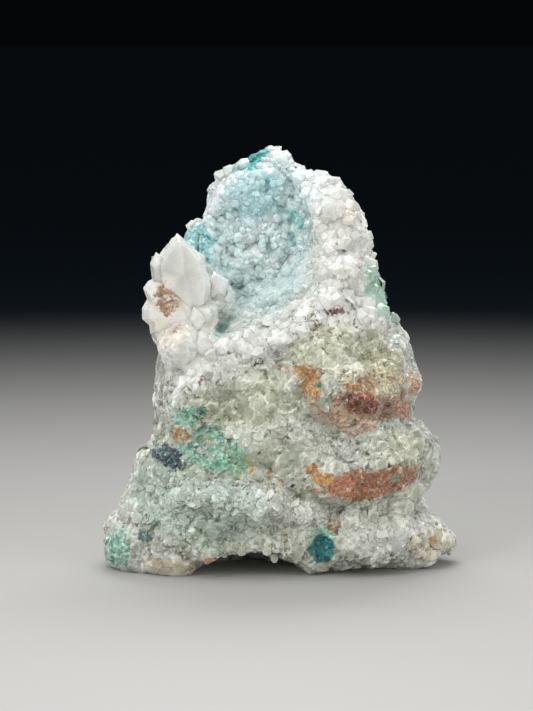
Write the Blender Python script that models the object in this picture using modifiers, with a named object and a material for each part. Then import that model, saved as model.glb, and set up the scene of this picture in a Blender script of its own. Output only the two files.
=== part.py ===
"""Chrysocolla quartz, a mineral specimen that stands on its broken base.

The front, with the druse-lined hollow, faces -Y, and +Z is up. The origin lies on the resting
plane, under the centre of the specimen's box. Lengths in this file are in millimetres, and MM
turns them into Blender's metres where a mesh is made.
"""

import math
import random

import bmesh
import bpy
import numpy as np
from mathutils import Matrix, Vector, kdtree, noise

MM = 0.001

# Driving sizes
HEIGHT = 65.0
BELOW_REST = -3.0
GROWTH = 0.8
GAP = 0.35
BOX_CENTRE = (0.3, -0.6)

# Outline seen from the front, as (height, x) going up each side
LEFT_OUTLINE = [
    (0.0, -26.6), (2.6, -27.7), (5.0, -27.8), (8.5, -25.7), (12.5, -24.0), (16.8, -22.2),
    (19.1, -20.1), (22.8, -19.3), (26.7, -19.1), (31.0, -19.6), (35.0, -19.6), (40.8, -18.2),
    (46.8, -16.2), (51.8, -14.4), (54.2, -12.2), (56.6, -11.8), (59.2, -10.7), (61.2, -8.6),
    (62.0, -6.6), (62.7, -4.8), (64.0, -3.5), (65.0, -2.3),
]
RIGHT_OUTLINE = [
    (0.0, 19.0), (1.0, 24.0), (1.8, 27.0), (3.0, 27.8), (4.8, 26.3), (7.1, 23.9),
    (10.0, 23.4), (13.0, 23.6), (15.3, 24.7), (20.0, 24.7), (22.0, 23.3), (23.8, 21.8),
    (26.2, 22.0), (28.5, 22.9), (30.8, 21.6), (35.3, 20.0), (38.1, 18.5), (42.9, 17.0),
    (47.3, 15.5), (50.2, 14.8), (52.4, 13.6), (54.6, 12.3), (58.0, 11.2), (60.0, 9.2),
    (60.8, 5.4), (61.8, 3.4), (63.2, 2.6), (64.3, 1.2), (65.0, -0.9),
]

# Depths, as (height, y): the silhouette's own depth, the back, and the front of each mass
EDGE_DEPTH = [(0, -6.0), (6, -4.0), (14, -1.0), (28, 2.0), (43, 5.0), (58, 8.5), (66.2, 9.5)]
BACK_DEPTH = [(0, 14.0), (8, 16.5), (21, 17.5), (35, 16.0), (48, 14.5), (60, 13.5), (66.2, 11.0)]
SLAB_FRONT = [(0, -3.0), (35, 0.0), (43, 2.2), (53, 4.2), (61, 6.4), (66.2, 7.8)]
BLOCK_FRONT = [(0, -14.5), (4, -16.0), (12, -16.4), (20, -15.4), (28, -13.6), (35, -11.6), (46, -9.0)]
WALL_FRONT = [(36, -9.5), (43, -7.8), (49, -4.6), (55, -0.8), (61, 3.4), (66.2, 6.8)]
SHOULDER_FRONT = [(32, -8.6), (39, -7.4), (46, -4.4), (52, -0.5), (57, 4.0), (66.2, 8.0)]

# Plan lines that end a mass: the block's lip over the hollow, and the white wall's inner edge
LIP_HEIGHT = [(-18.7, 29.6), (-14.1, 32.4), (-9.4, 34.6), (-5.2, 36.9), (0.0, 39.3), (3.3, 41.4),
              (6.2, 43.9), (9.0, 48.0)]
WALL_EDGE = [(39, 10.0), (44, 9.4), (49, 8.4), (54, 7.2), (59, 5.4), (63, 3.4)]
SHOULDER_EDGE = -13.2
LIP_FALL, WALL_FALL, SHOULDER_FALL = 1.5, 1.4, 1.3
ROUNDNESS = (3.2, 0.42)
MASS_BLEND = 2.4
UNDERCUT = 0.8
SHOULDER_FOOT, WALL_FOOT = 36.0, 42.0
SWELL_POWER = 1.2

# Uneven growth of the stone: the size of its lumps and how far they rise
COARSE_LUMPS = (8.0, 1.1)
FINE_LUMPS = (3.4, 0.5)

# Swells and recesses of the front: x, height, half width, half height, tilt in degrees, rise
FRONT_RELIEF = [
    (-3.0, 48.0, 11.0, 13.0, 0, -2.8),    # floor of the hollow
    (-5.0, 24.5, 13.0, 5.5, 12, -3.0),    # shaded granular recess under the lip
    (12.5, 30.0, 11.0, 6.0, -12, 2.6),    # iron-stained shelf
    (6.0, 22.0, 12.0, 3.4, 4, -2.0),
    (20.0, 20.0, 6.0, 5.5, 0, 2.4),
    (14.0, 15.6, 12.0, 2.8, 6, 2.4),      # iron-stained ledge
    (15.0, 10.8, 11.0, 3.4, 2, -3.0),     # hollow under that ledge
    (19.0, 5.0, 11.0, 3.6, 0, 1.2),
    (20.0, 0.0, 14.0, 5.0, 0, -3.4),      # underside drawn back at the right
    (-7.0, 12.6, 14.0, 3.2, -8, 2.6),     # sugary crest
    (-9.0, 17.4, 10.0, 3.2, -8, -2.4),
    (-16.5, 5.5, 9.0, 6.0, 0, 2.2),       # left foot
    (-1.0, 7.5, 6.5, 3.6, 0, -1.6),
    (-20.5, 19.0, 4.5, 4.5, 0, 1.6),
    (19.5, 41.0, 3.4, 8.0, 22, -7.0),     # the wall stops short of the green slab behind it
    (-17.0, 33.5, 5.0, 6.0, 0, -2.0),
    (11.0, 57.0, 5.0, 6.5, 20, 1.6),
    (11.5, 49.0, 6.0, 5.5, -10, 1.4),
]
BACK_RELIEF = [
    (-12.0, 14.0, 13.0, 10.0, 10, 2.6),
    (9.0, 20.0, 12.0, 9.0, -20, -3.4),
    (15.0, 8.0, 10.0, 7.0, 0, 2.4),
    (-9.0, 34.0, 10.0, 8.0, 15, -2.6),
    (6.0, 38.0, 12.0, 7.0, -25, 2.2),
    (-3.0, 53.0, 9.0, 8.0, 30, -2.2),
    (8.0, 55.0, 6.0, 7.0, 0, 1.6),
    (-2.0, 4.0, 9.0, 4.0, 0, -2.0),
]

# Rim of the druse in the hollow: angle in degrees from +X round its centre, and reach
DRUSE_CENTRE = (-3.0, 50.4)
DRUSE_RIM = [
    (0, 7.8), (12, 7.8), (25, 8.9), (45, 9.7), (65, 11.4), (76, 12.9), (86, 13.7), (95, 12.7),
    (106, 11.9), (121, 11.6), (136, 10.6), (158, 9.7), (180, 9.4), (200, 9.8), (217, 10.6),
    (232, 12.8), (244, 14.0), (258, 11.6), (272, 10.0), (289, 9.4), (312, 9.3), (328, 10.6),
    (341, 8.6), (360, 7.8),
]
DRUSE_FLOOR, DRUSE_TOP = -1.4, 0.3
BED_DEPTH, BED_TOP = -2.0, 9.0
ROOM_FLOOR = -0.9

# Quartz crystals in the skin: spacing, how far a tip stands out, and how far its axis may lean
BLOCK_GRAINS = (2.5, 1.15, 0.9)
WALL_GRAINS = (3.3, 1.0, 0.8)
BACK_GRAINS = (4.4, 1.3, 0.6)
DRUSE_GRAINS = (2.3, 1.5, 0.8)
FACE_ANGLE = math.radians(38.2)
LOWEST_DIP, HIGHEST_RISE = -0.5, 1.3
TIP_SPREAD = (0.55, 1.1)
NEIGHBOURS = 7
LEAST_LEANING = 0.12
ABOVE_LIP = 2.0
PRISM_TAPER = 0.96

# Hexagonal quartz of the left shoulder: x, y and height of its foot, radius, length, height of the
# tip as a share of the radius, and its tilt to the left, tilt forward and turn in degrees
SHOULDER_CRYSTALS = [
    (-15.0, -4.2, 42.0, 4.2, 7.0, 1.10, 8, 3, 10),     # tall milky crystal with the pointed top
    (-18.0, -3.6, 45.2, 1.7, 3.6, 1.10, 14, 4, 20),
    (-9.8, -3.4, 41.4, 2.3, 3.0, 1.00, -12, 16, 22),   # bright tabular crystal beside it
    (-16.8, -4.8, 43.8, 3.0, 2.4, 0.50, 66, 30, 6),    # iron-spotted face with a jagged left edge
    (-17.2, -5.4, 40.8, 3.0, 2.8, 0.45, 84, 34, 28),
    (-16.8, -6.2, 37.6, 2.9, 2.4, 0.50, 100, 34, 14),
    (-15.8, -3.6, 40.6, 4.7, 3.8, 0.32, 10, 82, 4),
    (-15.4, -7.0, 35.6, 3.8, 3.6, 0.40, 12, 92, 22),
    (-12.4, -5.2, 39.4, 2.5, 3.2, 0.70, -22, 72, 12),
    (-11.0, -7.4, 35.2, 2.3, 2.6, 0.90, -6, 56, 26),   # clear rounded crystal
]

# Feet: ellipsoids cut from under the base, as centre, then half sizes
BASE_HOLLOWS = [
    ((-4.6, -15.0, -0.6), (9.6, 14.0, 4.9)),
    ((16.5, -18.0, -0.4), (14.0, 9.0, 2.8)),
    ((1.0, 19.0, -0.4), (12.0, 10.0, 2.6)),
]

REST_BLOCK = (90.0, 70.0, 20.0)

# Plain finishes: colour and roughness
QUARTZ_FINISH = ((0.74, 0.78, 0.74), 0.45)
DRUSE_FINISH = ((0.62, 0.79, 0.84), 0.25)

# Mesh fineness
AROUND, UP = 150, 130
EVEN_SIZE, KEPT_SHARE = 0.4, 0.031
BED_STEPS, DRUSE_STEPS = 28, 56
FRONT_REACH = 0.97
ACROSS_STEP, HEIGHT_STEP = 0.02, 0.5
DRUSE_KEPT_SHARE = 0.19
RING_SAMPLES = 40
SKIN_TRIES, DRUSE_TRIES = 16000, 5000
SEED = 11


def along(profile, place):
    """Value of a profile of (place, value) pairs, straight between them."""
    places, values = zip(*profile)
    return float(np.interp(place, places, values))


def nearer(first, second):
    """The smaller of two depths, the one nearer the viewer, with a rounded crease between them."""
    share = max(0.0, min(1.0, 0.5 + 0.5 * (second - first) / MASS_BLEND))
    return second + (first - second) * share - MASS_BLEND * share * (1 - share)


def relief(features, x, height):
    """How far the swells and recesses lift the surface at a place."""
    rise = 0.0
    for at_x, at_height, half_width, half_height, tilt, lift in features:
        turn = math.radians(tilt)
        dx, dz = x - at_x, height - at_height
        u = (dx * math.cos(turn) + dz * math.sin(turn)) / half_width
        v = (dz * math.cos(turn) - dx * math.sin(turn)) / half_height
        rise += lift * max(0.0, 1.0 - u * u - v * v) ** SWELL_POWER
    return rise


def front_depth(x, height):
    """Depth of the front: the slab behind, the block below, the wall and the shoulder."""
    slab = along(SLAB_FRONT, height)
    block = along(BLOCK_FRONT, height) + LIP_FALL * max(0.0, height - along(LIP_HEIGHT, x))
    wall = along(WALL_FRONT, height) + WALL_FALL * max(0.0, along(WALL_EDGE, height) - x)
    shoulder = along(SHOULDER_FRONT, height) + SHOULDER_FALL * max(0.0, x - SHOULDER_EDGE)
    shoulder += UNDERCUT * max(0.0, SHOULDER_FOOT - height)
    wall += UNDERCUT * max(0.0, WALL_FOOT - height)
    nearest = nearer(nearer(slab, block), nearer(wall, shoulder))
    return nearest - relief(FRONT_RELIEF, x, height)


def back_depth(x, height):
    return along(BACK_DEPTH, height) + relief(BACK_RELIEF, x, height)


def outline(height):
    """Left and right edge of the smooth skin, inside the outline by what its crystals add."""
    return along(LEFT_OUTLINE, height) + GROWTH, along(RIGHT_OUTLINE, height) - GROWTH


def skin(across, height, side):
    """Point of the stone's smooth skin: across runs from -1 at its left to 1 at its right."""
    left, right = outline(height)
    x = (left + right) / 2 + across * (right - left) / 2
    edge = along(EDGE_DEPTH, height)
    depth = front_depth(x, height) if side < 0 else back_depth(x, height)
    fullness = max(0.0, 1.0 - abs(across) ** ROUNDNESS[0]) ** ROUNDNESS[1]
    return Vector((x, edge + (depth - edge) * fullness, height))


def across_at(x, height):
    """Where a place lies between the outline's left, -1, and right, 1."""
    left, right = outline(height)
    return (2 * x - left - right) / (right - left)


def front_point(x, height):
    """Point of the smooth skin at a place of the front."""
    depth = skin(max(-FRONT_REACH, min(FRONT_REACH, across_at(x, height))), height, -1).y
    return Vector((x, depth, height))


def front_normal(x, height):
    return outward(max(-FRONT_REACH, min(FRONT_REACH, across_at(x, height))), height, -1)


def outward(across, height, side):
    """Unit normal of the smooth skin."""
    right, left = min(across + ACROSS_STEP, 1), max(across - ACROSS_STEP, -1)
    span = skin(right, height, side) - skin(left, height, side)
    rise = skin(across, height + HEIGHT_STEP, side) - skin(across, height - HEIGHT_STEP, side)
    return (span.cross(rise) * -side).normalized()


def lumps(point):
    """Uneven growth of the stone, on two scales."""
    coarse = noise.noise(point / COARSE_LUMPS[0] + Vector((3.1, 7.7, 1.3)))
    fine = noise.noise(point / FINE_LUMPS[0] + Vector((9.2, 0.4, 5.8)))
    return COARSE_LUMPS[1] * coarse + FINE_LUMPS[1] * fine


def druse_reach(angle):
    return along(DRUSE_RIM, math.degrees(angle) % 360)


def new_object(name, bm, collection):
    """An object from a bmesh in millimetres, which it frees."""
    bmesh.ops.recalc_face_normals(bm, faces=bm.faces)
    bm.transform(Matrix.Scale(MM, 4) @ Matrix.Translation((-BOX_CENTRE[0], -BOX_CENTRE[1], 0)))
    mesh = bpy.data.meshes.new(name)
    bm.to_mesh(mesh)
    bm.free()
    obj = bpy.data.objects.new(name, mesh)
    collection.objects.link(obj)
    return obj


def hide_helper(obj):
    obj.hide_render = True
    obj.display_type = "WIRE"
    return obj


def material(name, colour, roughness):
    """A plain stone finish."""
    made = bpy.data.materials.new(name)
    made.use_nodes = True
    shader = made.node_tree.nodes["Principled BSDF"]
    shader.inputs["Base Color"].default_value = (*colour, 1.0)
    shader.inputs["Roughness"].default_value = roughness
    shader.inputs["Metallic"].default_value = 0.0
    return made


def boolean(obj, operation, operand, overlapping=False):
    modifier = obj.modifiers.new(operand.name, "BOOLEAN")
    modifier.operation = operation
    modifier.object = operand
    modifier.use_self = overlapping


class Facets:
    """Pointed crystals grown side by side on a surface, seen as how far they lift it."""

    def __init__(self):
        self.feet, self.tips, self.faces = [], [], []

    def grow(self, foot, normal, grains, chance):
        """Add a crystal, unless another one is too close. The grains are spacing, rise and lean."""
        spacing, rise, lean = grains
        if any((foot - other).length < spacing for other in self.feet):
            return
        wander = Vector([chance.uniform(-lean, lean) for _ in range(3)])
        axis = (normal + wander).normalized()
        across = axis.orthogonal().normalized()
        first = chance.uniform(0, math.pi / 3)
        sides = [Matrix.Rotation(first + side * math.pi / 3, 3, axis) @ across for side in range(6)]
        tilt = math.cos(FACE_ANGLE), math.sin(FACE_ANGLE)
        self.feet.append(foot)
        self.tips.append(foot + normal * rise * chance.uniform(*TIP_SPREAD))
        self.faces.append([side * tilt[0] + axis * tilt[1] for side in sides])

    def finish(self):
        """Hold the crystals as arrays once all of them have grown."""
        self.near = kdtree.KDTree(len(self.feet))
        for index, foot in enumerate(self.feet):
            self.near.insert(foot, index)
        self.near.balance()
        self.tips = np.array(self.tips)
        self.faces = np.array(self.faces)

    def lift(self, point, normal):
        """How far the crystals stand out from a point of the surface, along its normal."""
        found = [index for _, index, _ in self.near.find_n(point, NEIGHBOURS)]
        faces = self.faces[found]
        leaning = faces @ np.array(normal)
        gap = self.tips[found] - np.array(point)
        reach = np.einsum("cfk,ck->cf", faces, gap)
        steepest = np.maximum(leaning, LEAST_LEANING)
        heights = np.where(leaning > LEAST_LEANING, reach / steepest, np.inf).min(axis=1)
        return float(np.clip(heights.max(), LOWEST_DIP, HIGHEST_RISE))


def add_crystal(bm, foot, axis, radius, length, tip, turn):
    """A six-sided quartz prism that ends in a tip, whose height is a share of its radius."""
    made = bmesh.ops.create_cone(
        bm, cap_ends=True, segments=6, radius1=radius, radius2=radius * PRISM_TAPER, depth=length
    )
    bmesh.ops.translate(bm, verts=made["verts"], vec=(0, 0, length / 2))
    caps = {f for v in made["verts"] for f in v.link_faces if len(f.verts) == 6}
    top = max(caps, key=lambda f: f.calc_center_median().z)
    poked = bmesh.ops.poke(bm, faces=[top], offset=radius * tip)
    verts = made["verts"] + poked["verts"]
    place = Matrix.Translation(foot) @ axis.to_track_quat("Z", "Y").to_matrix().to_4x4()
    bmesh.ops.transform(bm, matrix=place @ Matrix.Rotation(turn, 4, "Z"), verts=verts)


def skin_grain(point, side):
    """Which crystals grow at a place of the skin."""
    if side > 0:
        return BACK_GRAINS
    return WALL_GRAINS if point.z > along(LIP_HEIGHT, point.x) + ABOVE_LIP else BLOCK_GRAINS


def skin_facets(chance):
    """The crystals in the stone's own skin."""
    facets = Facets()
    for _ in range(SKIN_TRIES):
        side = chance.choice((-1, 1))
        across = math.sin(chance.uniform(-math.pi / 2, math.pi / 2))
        height = chance.uniform(BELOW_REST, HEIGHT)
        point = skin(across, height, side)
        facets.grow(point, outward(across, height, side), skin_grain(point, side), chance)
    facets.finish()
    return facets


def druse_facets(chance):
    """The crystals of the druse."""
    facets = Facets()
    for _ in range(DRUSE_TRIES):
        angle = chance.uniform(0, 2 * math.pi)
        reach = math.sqrt(chance.random()) * druse_reach(angle)
        x = DRUSE_CENTRE[0] + reach * math.cos(angle)
        height = DRUSE_CENTRE[1] + reach * math.sin(angle)
        facets.grow(front_point(x, height), front_normal(x, height), DRUSE_GRAINS, chance)
    facets.finish()
    return facets


def ring_places(height, side):
    """Places across the stone at one height, at equal steps along its skin, from right to left."""
    turns = np.linspace(0.0, math.pi, RING_SAMPLES)
    rounded = np.sign(np.cos(turns)) * np.abs(np.cos(turns)) ** (2 / ROUNDNESS[0])
    samples = np.unique(np.concatenate([rounded, np.cos(turns)]))[::-1]
    points = np.array([skin(across, height, side)[:2] for across in samples])
    lengths = np.concatenate([[0.0], np.cumsum(np.hypot(*np.diff(points, axis=0).T))])
    return np.interp(np.linspace(0.0, lengths[-1], AROUND // 2 + 1), lengths, samples)


def stone_blank(collection, chance):
    """The stone before it is cut: a sphere whose rings become the stone's level sections."""
    bm = bmesh.new()
    bmesh.ops.create_uvsphere(bm, u_segments=AROUND, v_segments=UP, radius=1.0)
    rings = {}
    for vert in bm.verts:
        climb = 1.0 - math.acos(max(-1.0, min(1.0, vert.co.z))) / math.pi
        height = BELOW_REST + (HEIGHT - BELOW_REST) * max(0.0, (climb - 1 / UP) / (1 - 1 / UP))
        side = -1 if vert.co.y < 0 else 1
        ring = (round(height, 3), side)
        if ring not in rings:
            rings[ring] = ring_places(height, side)
        step = round(math.atan2(abs(vert.co.y), vert.co.x) / math.pi * (AROUND // 2))
        pole = math.hypot(vert.co.x, vert.co.y) < 1e-6
        vert.co = skin(0.0 if pole else rings[ring][step], height, side)
    bm.normal_update()
    facets = skin_facets(chance)
    moves = [(v, v.normal * (lumps(v.co) + facets.lift(v.co, v.normal))) for v in bm.verts]
    for vert, move in moves:
        vert.co += move
    return new_object("quartz_matrix", bm, collection)


def druse_patch(name, collection, steps, grow, floor, top, facets=None):
    """A sheet that follows the hollow, between two offsets towards the viewer."""
    bm = bmesh.new()
    bmesh.ops.create_grid(bm, x_segments=steps, y_segments=steps, size=1.0)
    for vert in bm.verts:
        a, b = vert.co.x, vert.co.y
        angle = math.atan2(b, a)
        reach = max(abs(a), abs(b)) * (druse_reach(angle) + grow)
        x = DRUSE_CENTRE[0] + reach * math.cos(angle)
        height = DRUSE_CENTRE[1] + reach * math.sin(angle)
        vert.co = front_point(x, height) - Vector((0, floor, 0))
    lifted = bmesh.ops.extrude_face_region(bm, geom=bm.faces[:])
    raised = [v for v in lifted["geom"] if isinstance(v, bmesh.types.BMVert)]
    for vert in raised:
        x, height = vert.co.x, vert.co.z
        rise = top - floor
        if facets:
            rise += max(0.0, facets.lift(front_point(x, height), front_normal(x, height)))
        vert.co.y -= rise
    return new_object(name, bm, collection)


def shoulder_crystals(collection):
    """The milky crystals that stand out at the upper left."""
    bm = bmesh.new()
    for x, y, height, radius, length, tip, left, forward, turn in SHOULDER_CRYSTALS:
        axis = Matrix.Rotation(-math.radians(left), 3, "Y") @ Vector((0, 0, 1))
        axis.rotate(Matrix.Rotation(math.radians(forward), 3, "X"))
        add_crystal(bm, Vector((x, y, height)), axis, radius, length, tip, math.radians(turn))
    return hide_helper(new_object("shoulder_crystals", bm, collection))


def base_hollows(collection):
    """The hollows between the feet."""
    hollows = []
    for number, (centre, half_sizes) in enumerate(BASE_HOLLOWS, 1):
        bm = bmesh.new()
        made = bmesh.ops.create_icosphere(bm, subdivisions=2, radius=1.0)
        bmesh.ops.scale(bm, vec=half_sizes, verts=made["verts"])
        bmesh.ops.translate(bm, vec=centre, verts=made["verts"])
        hollows.append(hide_helper(new_object(f"base_hollow_{number}", bm, collection)))
    return hollows


def resting_plane(collection):
    """A block whose top is the plane that the stone rests on."""
    bm = bmesh.new()
    made = bmesh.ops.create_cube(bm, size=1.0)
    bmesh.ops.scale(bm, vec=REST_BLOCK, verts=made["verts"])
    bmesh.ops.translate(bm, vec=(0, 0, -REST_BLOCK[2] / 2), verts=made["verts"])
    return hide_helper(new_object("resting_plane", bm, collection))


def even_out(obj, size):
    """Remesh into even small faces, with no fold or sliver left where crystals crowd each other."""
    modifier = obj.modifiers.new("even", "REMESH")
    modifier.mode = "VOXEL"
    modifier.voxel_size = size * MM


def thin_out(obj, share):
    modifier = obj.modifiers.new("thin", "DECIMATE")
    modifier.ratio = share


def build():
    for obj in list(bpy.data.objects):
        bpy.data.objects.remove(obj)
    parts = bpy.data.collections.new("chrysocolla_quartz")
    helpers = bpy.data.collections.new("cutters")
    for collection in (parts, helpers):
        bpy.context.scene.collection.children.link(collection)
    chance = random.Random(SEED)
    facets = druse_facets(chance)

    matrix = stone_blank(parts, chance)
    even_out(matrix, EVEN_SIZE)
    bed = druse_patch("druse_bed", helpers, BED_STEPS, 2 * GAP, BED_DEPTH, BED_TOP)
    room = druse_patch("druse_room", helpers, DRUSE_STEPS, GAP, ROOM_FLOOR, DRUSE_TOP + GAP, facets)
    boolean(matrix, "DIFFERENCE", hide_helper(bed))
    boolean(matrix, "UNION", shoulder_crystals(helpers), overlapping=True)
    even_out(matrix, EVEN_SIZE)
    boolean(matrix, "DIFFERENCE", hide_helper(room))
    thin_out(matrix, KEPT_SHARE)
    for hollow in base_hollows(helpers):
        boolean(matrix, "DIFFERENCE", hollow)
    boolean(matrix, "DIFFERENCE", resting_plane(helpers))
    matrix.data.materials.append(material("milky_quartz", *QUARTZ_FINISH))

    druse = druse_patch("druse_crust", parts, DRUSE_STEPS, 0.0, DRUSE_FLOOR, DRUSE_TOP, facets)
    thin_out(druse, DRUSE_KEPT_SHARE)
    druse.data.materials.append(material("blue_druse", *DRUSE_FINISH))


build()
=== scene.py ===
"""Looks of a chrysocolla quartz specimen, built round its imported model.

Run as a script, it gives the stone its granular skin, its crystals and its stains, and sets the
stage. Lengths are millimetres times MM, which makes them Blender's metres. Places in the tables are
pixels of the photograph's 533 by 711 frame, and each one is carried along the camera's ray to the
stone, so that what it names sits on the surface.
"""

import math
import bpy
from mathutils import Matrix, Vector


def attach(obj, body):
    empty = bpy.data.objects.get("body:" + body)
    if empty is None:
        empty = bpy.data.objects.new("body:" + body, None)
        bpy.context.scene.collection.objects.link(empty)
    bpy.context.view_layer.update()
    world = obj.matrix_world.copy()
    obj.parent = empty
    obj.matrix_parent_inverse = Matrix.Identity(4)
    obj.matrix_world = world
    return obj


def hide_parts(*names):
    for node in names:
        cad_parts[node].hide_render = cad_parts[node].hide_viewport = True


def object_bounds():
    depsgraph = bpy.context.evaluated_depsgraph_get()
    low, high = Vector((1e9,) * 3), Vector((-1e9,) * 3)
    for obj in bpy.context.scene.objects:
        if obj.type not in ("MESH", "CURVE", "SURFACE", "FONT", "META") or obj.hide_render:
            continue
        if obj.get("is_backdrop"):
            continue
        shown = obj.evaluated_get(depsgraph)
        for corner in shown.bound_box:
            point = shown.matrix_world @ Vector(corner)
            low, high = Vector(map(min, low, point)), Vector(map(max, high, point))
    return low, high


bl_info = {
    "name": "Chrysocolla quartz specimen",
    "version": (1, 0, 0),
    "blender": (4, 5, 0),
    "location": "3D View > Sidebar > Specimen",
    "description": "Builds the skin, crystals and stains of a chrysocolla quartz specimen",
    "category": "Object",
}

import bmesh
import bpy
import numpy as np
from mathutils import Vector, kdtree, noise
from mathutils.bvhtree import BVHTree

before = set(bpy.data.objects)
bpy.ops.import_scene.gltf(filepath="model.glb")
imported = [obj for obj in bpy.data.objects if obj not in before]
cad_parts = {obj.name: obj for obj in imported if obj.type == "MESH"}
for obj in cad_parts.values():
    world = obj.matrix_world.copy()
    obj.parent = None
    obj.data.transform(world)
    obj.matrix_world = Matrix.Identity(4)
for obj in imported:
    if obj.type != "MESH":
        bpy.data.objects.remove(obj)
CAD_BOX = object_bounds()

MM = 0.001

# Camera, at the photograph's viewing angle, and a pixel's size at the stone, in millimetres
PHOTO_WIDE, PHOTO_HIGH = 533, 711
ELEVATION = math.radians(7.0)
DISTANCE = 0.460
LENS, SENSOR = 144.4, 36.0
AIM = Vector((-0.00224, 0.0006, 0.03313))
FOCAL_PIXELS = LENS / SENSOR * PHOTO_HIGH
PIXEL = DISTANCE / FOCAL_PIXELS / MM

# Outlines of the stone's regions in the photograph, as (x, y) pixels
LIP_LINE = [(140, 392), (160, 383), (189, 364), (219, 352), (246, 337), (278, 322), (300, 309), (318, 293)]
WALL_LINE = [(262, 130), (262, 150), (278, 165), (290, 185), (303, 205), (310, 225), (306, 240),
             (312, 265), (325, 290)]
CLUSTER_LINE = [(190, 225), (205, 255), (229, 275), (228, 300), (222, 330), (212, 352), (196, 372)]
WALL_FOOT = 318

# Soft washes of colour: name, centre x and y, half width and half height in pixels, tilt of the long
# axis in degrees anticlockwise, colour and strength
WASHES = [
    ("block", 285, 475, 165, 100, 0, "warm_grey", 0.75),
    ("under_lip", 255, 402, 62, 24, 12, "pale_stone", 0.8),
    ("hollow", 262, 240, 58, 82, 0, "ice_blue", 0.85),
    ("hollow_sky", 260, 195, 24, 24, 0, "sky_blue", 0.85),
    ("hollow_middle", 262, 250, 34, 28, 0, "ice_white", 0.7),
    ("hollow_foot", 262, 290, 40, 24, 0, "grey_blue", 0.45),
    ("wall", 352, 240, 40, 66, -18, "wall_white", 0.85),
    ("wall_peach", 346, 212, 11, 12, 0, "peach", 0.30),
    ("right_slab", 382, 298, 36, 9, -64, "slab_green", 0.9),
    ("cluster_peach", 168, 312, 24, 34, 0, "peach", 0.40),
    ("yellow_quartz", 345, 352, 52, 26, 0, "yellow_green", 0.75),
    ("olive_shelf", 385, 365, 24, 13, -20, "olive_pale", 0.8),
    ("pale_green_grains", 233, 459, 14, 12, 0, "pale_mint", 0.8),
    ("right_fringe", 408, 465, 26, 28, 0, "yellow_green", 0.55),
    ("foot_cream", 170, 568, 26, 10, 0, "cream", 0.7),
    ("spur_cream", 430, 545, 28, 14, 0, "cream", 0.65),
    ("lower_blue_green", 190, 500, 70, 40, -12, "aqua_white", 0.55),
]

# Stains with torn edges, and spots that lie over them: as the washes, and then how far each one
# breaks up into specks
STAINS = [
    ("apex", 257, 157, 22, 8, 47, "turquoise", 1.0, 0.0),
    ("flat_patch", 198, 238, 17, 13, -35, "turquoise_blue", 0.9, 0.2),
    ("flat_streak", 211, 261, 15, 5, -60, "turquoise_blue", 0.8, 0.4),
    ("hollow_streak", 296, 219, 14, 8, -50, "turquoise_blue", 0.8, 0.5),
    ("hollow_streak_low", 292, 238, 9, 4, -70, "turquoise_blue", 0.8, 0.4),
    ("foot_streak", 223, 328, 19, 4.5, 40, "pale_teal", 0.8, 0.3),
    ("cluster_rust", 167, 301, 13, 20, 25, "rust_tan", 0.9, 1.4),
    ("cluster_rust_low", 177, 330, 6, 8, 0, "rust_tan", 0.8, 1.7),
    ("red_row", 339, 311, 20, 5, 12, "red_brown", 1.0, 1.2),
    ("lip_red", 201, 383, 5, 3, 45, "red_brown", 0.9, 0.8),
    ("lip_brown", 257, 365, 6, 6, 0, "dark_brown", 1.0, 0.9),
    ("lip_orange_right", 281, 368, 8, 5, -30, "rust_tan", 0.8, 1.2),
    ("orange_column", 312, 384, 12, 22, 12, "orange", 0.9, 1.3),
    ("orange_top", 306, 373, 18, 8, -10, "orange", 0.9, 1.2),
    ("shelf_tan", 380, 384, 42, 15, -4, "tan", 1.0, 0.8),
    ("shelf_lump", 414, 384, 8, 13, 0, "pink_tan", 1.0, 0.1),
    ("shelf_rust", 378, 402, 50, 21, -6, "shelf_brown", 0.9, 1.0),
    ("shelf_fringe", 346, 420, 32, 15, -15, "pink_tan", 0.8, 0.8),
    ("left_green", 188, 415, 18, 12, 10, "mint", 0.9, 1.5),
    ("turquoise_band", 208, 446, 38, 22, -12, "mint", 0.85, 1.9),
    ("turquoise_deep", 199, 451, 22, 7, -8, "teal", 0.9, 1.1),
    ("night_patch", 171, 457, 25, 11, -20, "night_blue", 1.0, 0.7),
    ("lens_tail", 321, 477, 22, 8, -27, "orange", 0.95, 0.8),
    ("lens", 374, 484, 58, 17, 4, "rust", 0.95, 0.9),
    ("lens_right", 402, 479, 20, 8, 8, "rust_pink", 0.9, 0.8),
    ("nodule_top", 321, 535, 14, 11, 0, "pale_mint", 0.95, 0.0),
    ("left_teal", 147, 535, 9, 7, 20, "deep_teal", 0.9, 1.0),
    ("low_green", 206, 543, 6, 8, 0, "leaf_green", 0.7, 1.0),
    ("low_teal", 283, 545, 4, 4, 0, "teal", 0.8, 0.9),
    ("foot_teal", 117, 550, 15, 24, -20, "teal_grey", 0.9, 0.8),
    ("edge_line", 138, 484, 12, 2, 60, "teal", 0.8, 0.9),
    ("under_rust", 207, 561, 14, 4, 12, "rust_pink", 0.8, 0.8),
]
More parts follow.
